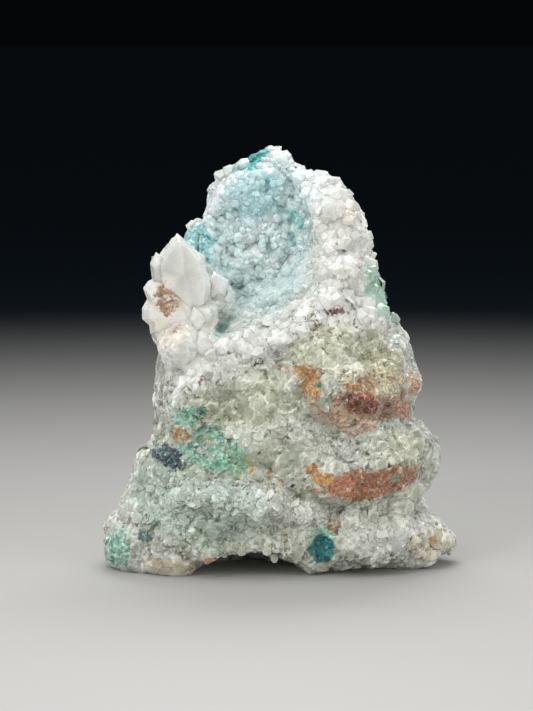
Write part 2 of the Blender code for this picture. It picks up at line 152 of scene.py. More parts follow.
SPOTS = [
    ("red_row_high", 347, 301, 9, 3, 15, "red_brown", 0.9, 1.0),
    ("olive_specks", 315, 333, 6, 10, 0, "olive", 0.9, 1.5),
    ("lip_orange", 268, 355, 5, 4, 20, "pale_orange", 0.8, 1.4),
    ("shelf_brown", 362, 385, 22, 8, 6, "rust_tan", 0.9, 1.2),
    ("shelf_crack", 392, 396, 24, 1.6, 0, "cream", 0.9, 0.2),
    ("shelf_purple", 362, 402, 21, 12, -20, "purple_brown", 1.0, 0.8),
    ("shelf_red", 399, 412, 20, 12, 10, "rust_pink", 0.8, 0.9),
    ("green_spot", 320, 385, 4, 4, 0, "teal_green", 1.0, 0.3),
    ("green_spot_shelf", 354, 422, 3.5, 4, 0, "teal_green", 0.9, 0.4),
    ("green_spot_low", 362, 432, 3, 2.5, 0, "teal_green", 0.8, 0.4),
    ("left_green_dark", 200, 411, 4, 5, 0, "deep_teal", 0.9, 0.6),
    ("brown_oval", 180, 435, 14, 9, 0, "tan_brown", 0.95, 0.5),
    ("brown_tail", 205, 440, 18, 3.5, -8, "tan_brown", 0.6, 1.2),
    ("ochre", 250, 467, 6, 10, 12, "ochre", 0.9, 1.6),
    ("ochre_right", 270, 475, 7, 4.5, 0, "orange", 0.9, 1.4),
    ("ochre_far", 284, 480, 6, 3, 0, "ochre", 0.8, 1.8),
    ("teal_vein", 196, 448, 15, 3, -12, "deep_teal", 0.8, 0.7),
    ("green_vein", 215, 436, 8, 4, -35, "teal_green", 0.8, 0.9),
    ("mint_grains", 224, 455, 12, 7, -10, "pale_mint", 0.8, 1.0),
    ("lens_teal", 395, 478, 8, 5, 0, "teal", 0.7, 1.0),
    ("lens_edge", 363, 495, 18, 4, -4, "orange", 0.85, 1.0),
    ("nodule", 322, 548, 13, 14, -10, "teal_full", 1.0, 0.0),
    ("nodule_cap", 334, 525, 11, 7, 0, "shelf_brown", 0.95, 0.6),
    ("spur_ochre", 432, 540, 9, 4.5, 0, "ochre", 0.8, 1.2),
    ("teal_tick", 418, 508, 2, 4, 0, "teal", 0.9, 0.4),
]

# Patches of texture: name, centre x and y, half width and half height in pixels, tilt, how sugary the
# quartz is, from clear and grey-green, 0, to white, 1, and its share of loose flakes
TEXTURES = [
    ("lip_left", 190, 377, 34, 12, 32, 1.0, 0.12),
    ("lip_middle", 240, 352, 34, 12, 30, 1.0, 0.12),
    ("lip_right", 300, 322, 32, 12, 30, 1.0, 0.12),
    ("lip_far", 352, 312, 36, 22, -12, 0.95, 0.12),
    ("under_lip", 262, 404, 62, 26, 12, 0.18, 0.0),
    ("under_lip_left", 225, 405, 26, 16, 0, 0.05, 0.0),
    ("yellow_massive", 345, 352, 40, 22, 0, 0.25, 0.05),
    ("sugar_cluster", 296, 428, 26, 11, 0, 1.0, 1.0),
    ("sugar_cluster_left", 238, 434, 16, 12, 0, 0.9, 1.0),
    ("sugar_cluster_right", 336, 444, 22, 9, -16, 0.95, 1.0),
    ("grey_hollow", 278, 456, 26, 18, 0, 0.0, 0.0),
    ("grey_hollow_low", 218, 476, 34, 12, -14, 0.05, 0.0),
    ("clear_blocks", 318, 492, 26, 24, 0, 0.10, 0.0),
    ("crest_left", 180, 490, 44, 12, -6, 0.9, 1.0),
    ("crest_middle", 245, 500, 44, 14, -8, 1.0, 1.0),
    ("crest_right", 300, 512, 30, 10, -6, 0.9, 1.0),
    ("lower_left", 160, 525, 40, 18, -10, 0.35, 0.5),
    ("lower_left_foot", 200, 540, 36, 16, 0, 0.30, 0.5),
    ("lower_middle", 285, 530, 36, 14, 0, 0.55, 0.5),
    ("lower_right", 385, 530, 56, 22, 0, 0.85, 0.5),
    ("left_flank", 160, 390, 12, 50, 0, 0.2, 0.1),
    ("left_flank_low", 150, 470, 12, 26, 30, 0.15, 0.1),
]

# Stains whose rough surface carries few crystals, if they aren't too broken up
BARE_COLOURS = ("rust", "tan", "purple_brown", "rust_pink", "orange", "teal_full", "night_blue",
                "turquoise", "turquoise_blue", "tan_brown", "teal_grey", "slab_green", "ochre")
BARE_SPECKLE = 1.5

# The second colour that some stains break into
SECOND_COLOURS = {
    "rust": "tan_brown", "tan": "olive_pale", "purple_brown": "rust", "rust_pink": "pale_orange",
    "orange": "ochre", "mint": "teal_green", "night_blue": "deep_teal", "teal_full": "deep_teal",
    "turquoise_blue": "pale_teal", "tan_brown": "tan", "shelf_brown": "tan", "teal_grey": "pale_mint",
    "rust_tan": "tan_brown", "teal": "mint", "red_brown": "dark_brown",
}

# Colours of the minerals, as they look in daylight (sRGB, 0 to 255)
COLOURS = {
    "ice_blue": (214, 240, 244), "ice_white": (234, 251, 252), "sky_blue": (194, 230, 238),
    "grey_blue": (200, 216, 214), "wall_white": (229, 229, 224), "peach": (250, 233, 215),
    "turquoise": (58, 160, 158), "turquoise_blue": (112, 178, 184), "pale_teal": (140, 190, 186),
    "slab_green": (168, 202, 186), "rust_tan": (164, 114, 60), "red_brown": (122, 50, 34),
    "olive": (108, 98, 48), "dark_brown": (74, 44, 30), "pale_orange": (214, 162, 114),
    "yellow_green": (230, 229, 208), "olive_pale": (196, 193, 164), "orange": (174, 118, 68),
    "tan": (178, 158, 126), "rust": (158, 84, 50), "purple_brown": (80, 40, 40),
    "rust_pink": (164, 92, 66), "teal_green": (48, 142, 112), "mint": (132, 184, 162),
    "deep_teal": (26, 92, 92), "teal": (56, 150, 142), "tan_brown": (156, 112, 68),
    "night_blue": (30, 42, 60), "pale_mint": (178, 218, 192), "ochre": (200, 152, 70),
    "teal_full": (18, 126, 126), "leaf_green": (104, 138, 84), "teal_grey": (88, 142, 132),
    "cream": (224, 212, 190), "aqua_white": (190, 214, 204), "pink_tan": (198, 160, 132),
    "warm_grey": (210, 213, 202), "pale_stone": (238, 239, 226), "shelf_brown": (146, 90, 64),
}

# Milky crystals of the left shoulder: name, outline and summit of the front in pixels, how deep the
# outline lies behind the summit in millimetres, and the size of the front face as a share of it
SHOULDER_CRYSTALS = [
    ("tall", [(177, 233), (184, 239), (203, 256), (207, 271), (213, 286), (207, 312), (188, 326),
              (168, 308), (160, 288), (157, 268), (164, 252)], (184, 275), 3.2, 0.80),
    ("small_point", [(156, 252), (163, 257), (168, 274), (164, 292), (153, 288), (150, 263)],
     (158, 272), 1.8, 0.5),
    ("tablet", [(214, 271), (229, 280), (227, 300), (220, 303), (208, 300), (205, 284)],
     (220, 287), 1.4, 0.75),
    ("peach_mass", [(148, 281), (156, 277), (170, 281), (184, 292), (195, 312), (199, 332), (192, 350),
                    (185, 358), (177, 363), (165, 358), (157, 342), (150, 333), (149, 325), (142, 319),
                    (142, 308), (147, 299), (143, 288)], (169, 318), 3.0, 0.72),
    ("front_facets", [(192, 303), (207, 311), (210, 322), (203, 334), (195, 337), (186, 320)],
     (199, 321), 1.6, 0.5),
    ("clear_round", [(200, 330), (209, 331), (217, 342), (217, 353), (211, 361), (200, 362), (192, 353),
                     (192, 340)], (205, 347), 2.0, 0.6),
]
SUMMIT_OUT, CHIPPED = 0.4 * MM, 0.09 * MM
REAR_SHARE, REAR_DEPTH = 0.55, 3.6
OUTLINE_JITTER = 0.6

# How sugary each region is and its share of loose flakes, and how strongly it shows the large lobes,
# the crystals and the small crystals of the skin
REGION_SUGAR = {"hollow": (0.95, 0.1), "wall": (1.0, 0.1), "block": (0.35, 0.3), "cluster": (0.62, 0.0),
                "back": (0.6, 0.3)}
REGION_RELIEF = {"hollow": (0.2, 0.4, 0.3), "wall": (0.15, 0.25, 0.25), "block": (0.35, 0.75, 0.6),
                 "cluster": (0.0, 0.2, 0.2), "back": (0.3, 0.6, 0.5)}

# Grains of the skins: their spacing, how far they rise, and how many times they are smoothed
LOBE, GRAIN, SMALL_GRAIN = (5.0 * MM, 1.2 * MM, 6), (2.1 * MM, 0.7 * MM, 0), (1.1 * MM, 0.34 * MM, 0)
DRUSE_GRAIN, DRUSE_SMALL = (2.3 * MM, 0.5 * MM, 0), (1.1 * MM, 0.25 * MM, 0)
# Painted light and shade of the skins: lighter on high grains, a painted highlight on free rims and painted
# shade in the seams between grains; then the spread of the grains' own tones
RIM_HIGHLIGHT, SEAM_SHADE, HEIGHT_LIGHT, TONE_SPREAD = 0.55, 0.12, 0.10, 1.1

# The skins are calmer on massive quartz, and they sink so that their grains stay near the CAD's box
LESS_IN_QUIET, QUIET_ROUNDS, DRUSE_ROUNDS = 0.72, 16, 24
FRONT_NORMAL, BACK_NORMAL, FLAT_NORMAL = -0.1, 0.25, 0.35
SKIN_SINK, RELIEF_SINK, CRUST_SINK = 0.10 * MM, 0.55 * MM, 0.25 * MM
RIM_WIDTH, RIM_SINK, RIM_NORMAL, ANY_NORMAL = 2.0 * MM, 1.7 * MM, 0.45, 1.1
NEAR_CRUST, OFF_CRUST, CRUST_SPREAD = 1.6 * MM, 1.4 * MM, 1.05

# Patches: their depth in millimetres, and where and how softly they end
PATCH_DEPTH, DEPTH_SHARE = 2.5, 0.9
WASH_END, TEXTURE_END, SOFT_EDGE = 1.35, 1.25, 0.6
STAIN_END, STAIN_EDGE, FAR_OUTSIDE = 1.06, 0.9, -4.0
CRYSTAL_CLEANER = 0.5

# Shapes of crystals: the number of sides, the radii of the foot and the shoulder, and how far the
# corners of each wall and of each face of the tip lie from the edges that get painted highlights
POINTED = 6, 1.0, 0.97, [(0, 1, 1), (1, 0, 1), (1, 0, 0), (0, 1, 0)], [(1, 0, 0), (0, 1, 0), (0, 0, 1)]
FLAKE = 9, 0.85, 1.0, [(1, 1, 1), (1, 1, 1), (1, 1, 0), (1, 1, 0)], [(1, 1, 0), (1, 1, 0), (1, 1, 1)]

# Noises of the shader groups: scale per millimetre, detail and roughness
TORN, SPECKS, SHADE, GRIT = (1.0, 4.0, 0.6), (2.2, 3.0, 0.6), (1.7, 6.0, 0.85), (2.3, 6.0, 0.78)
DIRT, DIRT_CLUSTERS, EARTH, ROUGH = (0.7, 6.0, 0.75), (0.22, 2.0), (0.33, 1.0), (3.2, 4.0, 0.65)
WASH_GROUND = (0.80, 0.81, 0.79, 1)

# Finishes of the quartz: milky depth is in millimetres; the whites lighten a crystal at its tip, partly milky
# and partly painted light over painted shade at its foot, and along its edges as painted highlights
PLAIN = dict(clear=0.0, coat=0.25, facet_scale=1.0, facet_tilt=0.0, milky_depth=0.3, sugar_scale=3.0)
FINISHES = {
    "skin": dict(sugar_scale=2.2, bump=0.3, rough=0.2, milky=0.75, milky_depth=1.0, facet_tilt=0.8,
                 coat=0.55),
    "crust": dict(sugar_scale=2.2, bump=0.12, rough=0.16, milky=0.92, milky_depth=1.8, facet_scale=1.1,
                  facet_tilt=0.8, coat=0.65),
    "druse": dict(bump=0.12, rough=0.14, clear=0.2, milky=0.3, foot_white=0.46, tip_white_and_shade=0.12,
                  edge_highlight=0.34, edge_highlight_width=0.14),
    "grain": dict(bump=0.2, rough=0.20, clear=0.1, milky=0.25, foot_white=0.30, tip_white_and_shade=0.22,
                  edge_highlight=0.50, edge_highlight_width=0.16),
    "white": dict(bump=0.2, rough=0.20, clear=0.12, milky=0.25, foot_white=0.62, tip_white_and_shade=0.05,
                  edge_highlight=0.30, edge_highlight_width=0.16),
    "shoulder": dict(sugar_scale=1.2, bump=0.3, rough=0.26, clear=0.15, milky=0.75, milky_depth=0.8),
}
QUARTZ_IOR, COAT_ROUGHNESS, BUMP_DEPTH, STAIN_ROUGHER = 1.545, 0.08, 0.12 * MM, 0.45

# Lights: name, place, size and power
LIGHTS = [
    ("back_top", (0.02, 0.26, 0.34), (0.30, 0.16), 1.1),
    ("top", (-0.08, -0.08, 0.66), (0.50, 0.50), 1.3),
    ("glint", (-0.22, -0.30, 0.38), (0.04, 0.04), 0.25),
    ("fill_left", (-0.36, -0.34, 0.20), (0.30, 0.30), 0.75),
    ("fill_right", (0.38, -0.30, 0.14), (0.30, 0.30), 0.6),
]
SURROUNDINGS, SEEN_DARK = (0.53, 0.535, 0.54, 1), (0.0015, 0.0018, 0.0022, 1)
# Floor: its radius, the painted shade that its colour falls to far away, and the middle of its painted pool
# of light
FLOOR_RADIUS, FLOOR_FAR_SHADE, FLOOR_LIGHT_POOL = 6.0, (0.004, 0.006, 0.008, 1), (0, -0.12, 0)


def linear(name):
    """A colour of the table as Blender's linear values."""
    shares = np.array(COLOURS[name]) / 255
    return np.where(shares <= 0.04045, shares / 12.92, ((shares + 0.055) / 1.055) ** 2.4)


def length(label, text, millimetres):
    return bpy.props.FloatProperty(name=label, description=text, default=millimetres * MM, unit="LENGTH")


def shade(label, text, value):
    return bpy.props.FloatVectorProperty(
        name=label, description=text, default=value, size=3, min=0, max=1, subtype="COLOR"
    )


class SpecimenSizes(bpy.types.PropertyGroup):
    skin_cell: length("Skin cell", "Edge of the faces in the stone's fine skin", 0.64)
    druse_cell: length("Druse cell", "Edge of the faces in the hollow's fine skin", 0.18)
    druse_point: length("Druse point", "Radius of a usual quartz point in the hollow", 0.80)
    sugar_grain: length("Sugar grain", "Radius of a usual grain of the white sugary quartz", 0.36)
    back_grain: length("Back grain", "Radius of a usual quartz grain on the back and sides", 0.80)


class SpecimenColours(bpy.types.PropertyGroup):
    quartz: shade("Quartz", "Grey-green body colour of the granular quartz", (0.42, 0.44, 0.36))
    # The crest white is partly sugary quartz and partly painted highlight on rims and crystal edges; the
    # crevice colour is painted shade between the grains
    crest_light: shade("Crest", "White of the sugary crests and crystal edges", (0.92, 0.93, 0.88))
    crevice_shade: shade("Crevice", "Grey-green between the grains", (0.24, 0.26, 0.20))
    back: shade("Back", "Pale green of the chrysocolla-bearing back", (0.66, 0.80, 0.74))
    floor: shade("Floor", "Pale floor under the specimen", (0.53, 0.52, 0.505))


def camera_axes():
    """The camera's place, and its right, up and forward directions, as arrays in metres."""
    forward = Vector((0, math.cos(ELEVATION), -math.sin(ELEVATION)))
    right = Vector((1, 0, 0))
    return [np.array(v) for v in (AIM - forward * DISTANCE, right, right.cross(forward), forward)]


def seen_at(points):
    """Pixels of the photograph at which points, an array in metres, are seen."""
    place, right, up, forward = camera_axes()
    away = points - place
    depth = away @ forward
    x = PHOTO_WIDE / 2 + FOCAL_PIXELS * (away @ right) / depth
    y = PHOTO_HIGH / 2 - FOCAL_PIXELS * (away @ up) / depth
    return x, y


def sight_line(x, y):
    """The camera's place, and the direction in which it sees a pixel."""
    place, right, up, forward = camera_axes()
    across, rise = (x - PHOTO_WIDE / 2) / FOCAL_PIXELS, (PHOTO_HIGH / 2 - y) / FOCAL_PIXELS
    return place, forward + right * across + up * rise


def surface_under(tree, x, y):
    """The point of the surface that the photograph shows at a pixel, or the nearest to it."""
    place, ray = (Vector(v) for v in sight_line(x, y))
    point = tree.ray_cast(place, ray.normalized())[0]
    if point is None:
        point = tree.find_nearest(place + ray.normalized() * DISTANCE)[0]
    return point


def at_depth(x, y, depth):
    """The point at a depth along Y, in metres, that the photograph shows at a pixel."""
    place, ray = sight_line(x, y)
    return Vector(place + ray * ((depth - place[1]) / ray[1]))


def mesh_arrays(mesh):
    """Coordinates and normals of a mesh's vertices as arrays."""
    count = len(mesh.vertices)
    points, normals = np.empty(count * 3), np.empty(count * 3)
    mesh.vertices.foreach_get("co", points)
    mesh.vertices.foreach_get("normal", normals)
    return points.reshape(-1, 3), normals.reshape(-1, 3)


def move_points(mesh, points):
    mesh.vertices.foreach_set("co", points.ravel())
    mesh.update()


def linked(name, mesh, material=None):
    obj = bpy.data.objects.new(name, mesh)
    if material:
        mesh.materials.append(material)
    bpy.context.scene.collection.objects.link(obj)
    return obj


def seat(obj, slot, *nodes):
    """Fix a finished piece to the stone, and hide the CAD nodes that it stands for. The slot is not used."""
    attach(obj, "root")
    if nodes:
        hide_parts(*nodes)


def fine_copy(node, cell, name, split_front=False):
    """A new object with the shape of a CAD node, in small even faces, finer again at the front."""
    obj = linked(name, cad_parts[node].data.copy())
    even = obj.modifiers.new("even", "REMESH")
    even.mode = "VOXEL"
    even.voxel_size = cell
    mesh = bpy.data.meshes.new_from_object(obj.evaluated_get(bpy.context.evaluated_depsgraph_get()))
    obj.modifiers.clear()
    coarse = obj.data
    obj.data = mesh
    mesh.name = name
    bpy.data.meshes.remove(coarse)
    mesh.materials.clear()
    if split_front:
        bm = bmesh.new()
        bm.from_mesh(mesh)
        front = {edge for face in bm.faces if face.normal.y < FRONT_NORMAL for edge in face.edges}
        bmesh.ops.subdivide_edges(bm, edges=list(front), cuts=1, use_grid_fill=True)
        bm.to_mesh(mesh)
        bm.free()
    move_points(mesh, smoothed(mesh, mesh_arrays(mesh)[0], 2))
    return obj


def smoothed(mesh, values, rounds):
    """Values of a mesh's vertices, averaged along its edges a number of times."""
    edges = np.empty(len(mesh.edges) * 2, dtype=np.int64)
    mesh.edges.foreach_get("vertices", edges)
    first, second = edges.reshape(-1, 2).T
    joined = np.bincount(first, minlength=len(values)) + np.bincount(second, minlength=len(values))
    for _ in range(rounds):
        total = np.zeros_like(values)
        np.add.at(total, first, values[second])
        np.add.at(total, second, values[first])
        values = 0.5 * values + 0.5 * total / np.maximum(joined, 1)[:, None]
    return values


def unit(vectors):
    return vectors / np.linalg.norm(vectors, axis=-1, keepdims=True)


def search_tree(points):
    found = kdtree.KDTree(len(points))
    for index, point in enumerate(points):
        found.insert(point, index)
    found.balance()
    return found


class GrainGrowth:
    """Rounded, lobed grains crowded on a mesh, seen as how far they lift each point of it."""

    NEIGHBOURS = 7
    LEAN = 0.25
    RADII, TOPS = (0.50, 1.05), (0.25, 1.0)
    LOBES = (2, 0.13), (3, 0.10), (7, 0.06)
    # A grain's sloping side; the width and place of the painted highlight on its free rim, and the steps that
    # make a rim free or a seam dark with painted shade
    SIDE_WIDTH, EDGE_WIDTH, EDGE_PLACE = 0.22 * MM, 0.20 * MM, 0.6
    FREE_STEP, SEAM_STEP = 0.35, 0.12

    def __init__(self, mesh, spacing, rise, chance):
        count = int(sum(face.area for face in mesh.polygons) / spacing ** 2)
        self.feet, up = scatter(mesh, np.ones(len(mesh.vertices)), count, chance)
        self.across = unit(np.cross(up, chance.normal(size=up.shape)))
        self.along = np.cross(up, self.across)
        self.radii = spacing * chance.uniform(*self.RADII, count)
        self.slopes = chance.uniform(-self.LEAN, self.LEAN, (count, 2))
        self.tops = rise * chance.uniform(*self.TOPS, count)
        self.phases = chance.uniform(0, 2 * math.pi, (count, 3))
        self.tones = chance.uniform(0, 1, count)
        self.rise = rise
        self.near = search_tree(self.feet)

    def lift(self, points):
        """How far each point is lifted, how much painted highlight it takes as a free rim or painted shade
        as a seam, and its grain's tone.
        """
        found = np.array([[hit[1] for hit in self.near.find_n(p, self.NEIGHBOURS)] for p in points])
        away = points[:, None] - self.feet[found]
        across = (away * self.across[found]).sum(axis=2)
        along = (away * self.along[found]).sum(axis=2)
        turn, phases, lobed = np.arctan2(along, across), self.phases[found], 1
        for index, (lobes, reach) in enumerate(self.LOBES):
            lobed = lobed + reach * np.cos(lobes * turn + phases[..., index])
        inside = self.radii[found] * lobed - np.hypot(across, along)
        plateau = self.tops[found] + across * self.slopes[found, 0] + along * self.slopes[found, 1]
        side = np.sqrt(np.clip(inside / self.SIDE_WIDTH, 0, 1))
        heights = np.where(inside > 0, plateau * side, 0.0)
        rows, best = np.arange(len(points)), heights.argmax(axis=1)
        height, level, depth = heights[rows, best], plateau[rows, best], inside[rows, best]
        heights.partition(-2, axis=1)
        second = heights[:, -2]
        free = np.clip((level - second) / (self.FREE_STEP * self.rise), 0, 1)
        # Painted highlight along the free rims of grains, and painted shade in the seams where grains meet
        off_edge = (depth - self.EDGE_PLACE * self.EDGE_WIDTH) / self.EDGE_WIDTH
        rim_highlight = free * np.exp(-off_edge ** 2) * (depth > 0)
        seam_shade = np.exp(-np.abs(height - second) / (self.SEAM_STEP * self.rise)) * (1 - rim_highlight)
        return height, rim_highlight, seam_shade, self.tones[found[rows, best]]


def set_attribute(mesh, name, values, domain="POINT"):
    """Store one value, or one vector, for each vertex or corner of a mesh."""
    kind, key = ("FLOAT", "value") if np.ndim(values) == 1 else ("FLOAT_VECTOR", "vector")
    layer = mesh.attributes.new(name, kind, domain)
    layer.data.foreach_set(key, np.ascontiguousarray(values, dtype=np.float32).ravel())


def patches(points, tree, rows):
    """For each row of a table: how far points, in metres, lie from the middle of its ellipse, where 1
    is on its edge, then its smaller half size in millimetres, and the rest of the row."""
    for _, x, y, wide, high, tilt, *rest in rows:
        away = points / MM - np.array(surface_under(tree, x, y) / MM)
        half = wide * PIXEL, PATCH_DEPTH + DEPTH_SHARE * max(wide, high) * PIXEL, high * PIXEL
        turn = -math.radians(tilt)
        across = away[:, 0] * math.cos(turn) - away[:, 2] * math.sin(turn)
        rise = away[:, 0] * math.sin(turn) + away[:, 2] * math.cos(turn)
        reach = np.sqrt((across / half[0]) ** 2 + (away[:, 1] / half[1]) ** 2 + (rise / half[2]) ** 2)
        yield reach, min(half[0], half[2]), rest


def soft_share(reach, end):
    """Share of a patch at each point, which falls softly to nothing."""
    share = np.clip((end - reach) / SOFT_EDGE, 0, 1)[:, None]
    return share * share * (3 - 2 * share)


def textures_at(points, regions, tree):
    """How sugary the quartz is at each point, from clear, 0, to sugary, 1, and its share of flakes."""
    values = np.array([REGION_SUGAR[name] for name in regions])
    for reach, _, target in patches(points, tree, TEXTURES):
        values += (np.array(target) - values) * soft_share(reach, TEXTURE_END)
    return values.T


def bareness(points, tree):
    """How bare of crystals each point is, 1 in the middle of a rough stain."""
    values = np.zeros(len(points))
    bare = [row for row in STAINS + SPOTS if row[6] in BARE_COLOURS and row[8] < BARE_SPECKLE]
    for reach, _, _ in patches(points, tree, bare):
        values = np.maximum(values, np.clip((1.15 - reach) / 0.25, 0, 1))
    return values


def wandered(points, scale, reach):
    """Points moved by smooth noise, so that what is measured from them has wavy bounds."""
    moves = [noise.noise_vector(Vector(point) / scale) for point in points]
    return points + np.array(moves) * reach


def wash_layer(points, tree):
    """The colour and the cover of the soft washes at each point."""
    colours, cover = np.zeros((len(points), 3)), np.zeros((len(points), 1))
    for reach, _, (colour, strength) in patches(points, tree, WASHES):
        share = strength * soft_share(reach, WASH_END)
        colours = colours * (1 - share) + linear(colour) * share
        cover = cover * (1 - share) + share
    return colours / np.maximum(cover, 1e-6), cover[:, 0]


def stain_layer(points, tree, stains, second):
    """The colour of the nearest stain at each point, and its level, break-up and strength there.
    The level is the depth inside the stain: 1 is well inside, and -1 well outside."""
    colours, facts = np.zeros((len(points), 3)), np.zeros((len(points), 3))
    facts[:, 0] = FAR_OUTSIDE
    for reach, half, (colour, strength, speckle) in patches(points, tree, stains):
        level = np.clip((STAIN_END - reach) * half / STAIN_EDGE, FAR_OUTSIDE, 1.0)
        inside = level > facts[:, 0]
        tint, other = linear(colour), linear(SECOND_COLOURS.get(colour, colour))
        colours[inside] = tint + (other - tint) * second[inside, None]
        facts[inside, 0] = level[inside]
        facts[inside, 1:] = speckle, strength
    return colours, facts


def paint(mesh, points, regions, tree, repeat=1):
    """Store what the stains' shader group needs at each point, or at each crystal of so many vertices."""
    wavy = wandered(points, 1.5 * MM, 0.45 * MM)
    second = [noise.noise(Vector(point) / (0.6 * MM) + Vector((7.0, 3.0, 1.0))) for point in points]
    second = np.clip(np.array(second) * 2.4 + 0.4, 0, 1)
    layers = {"wash": wash_layer(wandered(points, 3.0 * MM, 1.2 * MM), tree)}
    for name, rows in (("stain", STAINS), ("spot", SPOTS)):
        layers[name] = stain_layer(wavy, tree, rows, second)
        layers[name][1][:, 0] -= CRYSTAL_CLEANER * (repeat > 1)
    for name, (colours, facts) in layers.items():
        set_attribute(mesh, name, np.repeat(colours, repeat, axis=0))
        set_attribute(mesh, name + "_level", np.repeat(facts, repeat, axis=0))
    set_attribute(mesh, "sugar", np.repeat(textures_at(wavy, regions, tree)[0], repeat))
    set_attribute(mesh, "dirty", np.repeat((regions == "block").astype(float), repeat))


def cut_into_regions(points, normals):
    """Which region of the stone each point belongs to: hollow, wall, block, cluster or back."""
    x, y = seen_at(points)
    lip = np.interp(x, *zip(*LIP_LINE))
    wall, cluster = (np.interp(y, *reversed(list(zip(*line)))) for line in (WALL_LINE, CLUSTER_LINE))
    region = np.full(len(points), "block", dtype="<U8")
    above = (y < lip) | (x > LIP_LINE[-1][0]) & (y < WALL_FOOT)
    region[above] = "hollow"
    region[above & (x > wall)] = "wall"
    region[(x < cluster) & (y > CLUSTER_LINE[0][1]) & (y < CLUSTER_LINE[-1][1])] = "cluster"
    region[normals[:, 1] > BACK_NORMAL] = "back"
    return region


def crystal_template(form):
    """Corners of a crystal of radius 1, its faces and how far their corners lie from bright edges."""
    sides, foot, shoulder, wall_highlight_edges, tip_highlight_edges = form
    turns = np.arange(sides) * 2 * math.pi / sides
    rings = [np.column_stack([np.cos(turns) * radius, np.sin(turns) * radius, np.full(sides, height)])
             for radius, height in ((foot, 0.0), (shoulder, 1.0))]
    pairs = [(side, (side + 1) % sides) for side in range(sides)]
    faces = [(a, b, sides + b, sides + a) for a, b in pairs]
    faces += [(sides + a, sides + b, 2 * sides) for a, b in pairs]
    edges = np.array(wall_highlight_edges * sides + tip_highlight_edges * sides, dtype=np.float32)
    return np.vstack([*rings, [[0.0, 0.0, 1.0]]]), faces, edges


def crystal_mesh(name, feet, axes, radii, lengths, tips, form, chance):
    """A mesh of many quartz crystals. Lengths are of the prisms, and tips are the heights above them."""
    sides, (corners, faces, edges) = form[0], crystal_template(form)
    count, each = len(feet), len(corners)
    helper = unit(np.cross(axes, chance.normal(size=axes.shape)))
    other = np.cross(axes, helper)
    uneven = chance.uniform(0.74, 1.20, (count, sides))
    widths = np.concatenate([uneven, uneven, np.zeros((count, 1))], axis=1) * radii[:, None]
    u, v = corners[:, 0] * widths, corners[:, 1] * widths
    shift = chance.uniform(-0.32, 0.32, (count, 2)) * radii[:, None]
    u[:, -1], v[:, -1] = shift[:, 0], shift[:, 1]
    along = corners[:, 2] * lengths[:, None]
    along[:, -1] = lengths + tips
    along[:, sides:-1] += chance.uniform(-0.14, 0.14, (count, sides)) * radii[:, None]
    places = (feet[:, None] + u[..., None] * helper[:, None] + v[..., None] * other[:, None]
              + along[..., None] * axes[:, None])
    mesh = bpy.data.meshes.new(name)
    loops = (np.concatenate(faces)[None, :] + (np.arange(count) * each)[:, None]).ravel()
    sizes = np.tile([len(face) for face in faces], count)
    mesh.vertices.add(count * each)
    mesh.vertices.foreach_set("co", places.ravel())
    mesh.loops.add(len(loops))
    mesh.loops.foreach_set("vertex_index", loops)
    mesh.polygons.add(len(sizes))
    mesh.polygons.foreach_set("loop_start", np.concatenate([[0], np.cumsum(sizes)[:-1]]))
    mesh.update(calc_edges=True)
    mesh.shade_flat()
    # How far each corner lies from the edges that get painted highlights, and how far up the crystal it lies,
    # for its whiter tip
    set_attribute(mesh, "facet", np.tile(edges, (count, 1)), "CORNER")
    set_attribute(mesh, "rise", np.clip(along / (lengths + tips)[:, None], 0, 1).ravel())
    set_attribute(mesh, "tone", np.repeat(chance.uniform(0, 1, count), each))
    return mesh, each


def scatter(mesh, weights, count, chance):
    """Points spread over a mesh's faces, in proportion to the weights of their vertices."""
    mesh.calc_loop_triangles()
    corners = np.empty(len(mesh.loop_triangles) * 3, dtype=np.int64)
    mesh.loop_triangles.foreach_get("vertices", corners)
    corners = corners.reshape(-1, 3)
    points, normals = mesh_arrays(mesh)
    a, b, c = points[corners.T]
    areas = np.linalg.norm(np.cross(b - a, c - a), axis=1) * weights[corners].mean(axis=1)
    chosen = chance.choice(len(corners), size=count, p=areas / areas.sum())
    shares = chance.dirichlet((1, 1, 1), count)
    places = np.einsum("nk,nkj->nj", shares, points[corners[chosen]])
    return places, unit(np.einsum("nk,nkj->nj", shares, normals[corners[chosen]]))


def grow_crystals(name, ground, weights, plan, tree, chance, slot):
    """A piece of crystals on a mesh. The shape is the length and the tip, in radii, and the share of
    the length that is sunk."""
    count, radius, lean, shape, form, finish = plan
    places, outward = scatter(ground, weights, count, chance)
    radii = radius * np.exp(chance.normal(0.0, 0.36, count)).clip(0.5, 1.5)
    axes = unit(outward + chance.normal(0.0, lean, outward.shape))
    lengths = radii * shape[0] * chance.uniform(0.6, 1.4, count)
    tips = radii * shape[1] * chance.uniform(0.6, 1.2, count)
    feet = places - axes * (lengths * shape[2])[:, None]
    mesh, each = crystal_mesh(name, feet, axes, radii, lengths, tips, form, chance)
    paint(mesh, places, cut_into_regions(places, outward), tree, each)
    seat(linked(name, mesh, quartz_material(name, finish)), slot)


def new_group(name, inputs, outputs):
    """An empty shader node group, with its input and output nodes."""
    tree = bpy.data.node_groups.new(name, "ShaderNodeTree")
    for side, sockets in (("INPUT", inputs), ("OUTPUT", outputs)):
        for label, kind in sockets:
            tree.interface.new_socket(label, in_out=side, socket_type="NodeSocket" + kind)
    return tree, tree.nodes.new("NodeGroupInput").outputs, tree.nodes.new("NodeGroupOutput").inputs


def add_node(tree, kind, links=None, **settings):
    """A node with its properties set, and its inputs set or linked by name or number."""
    node = tree.nodes.new("ShaderNode" + kind)
    for key, value in settings.items():
        setattr(node, key, value)
    join(tree, node, links or {})
    return node


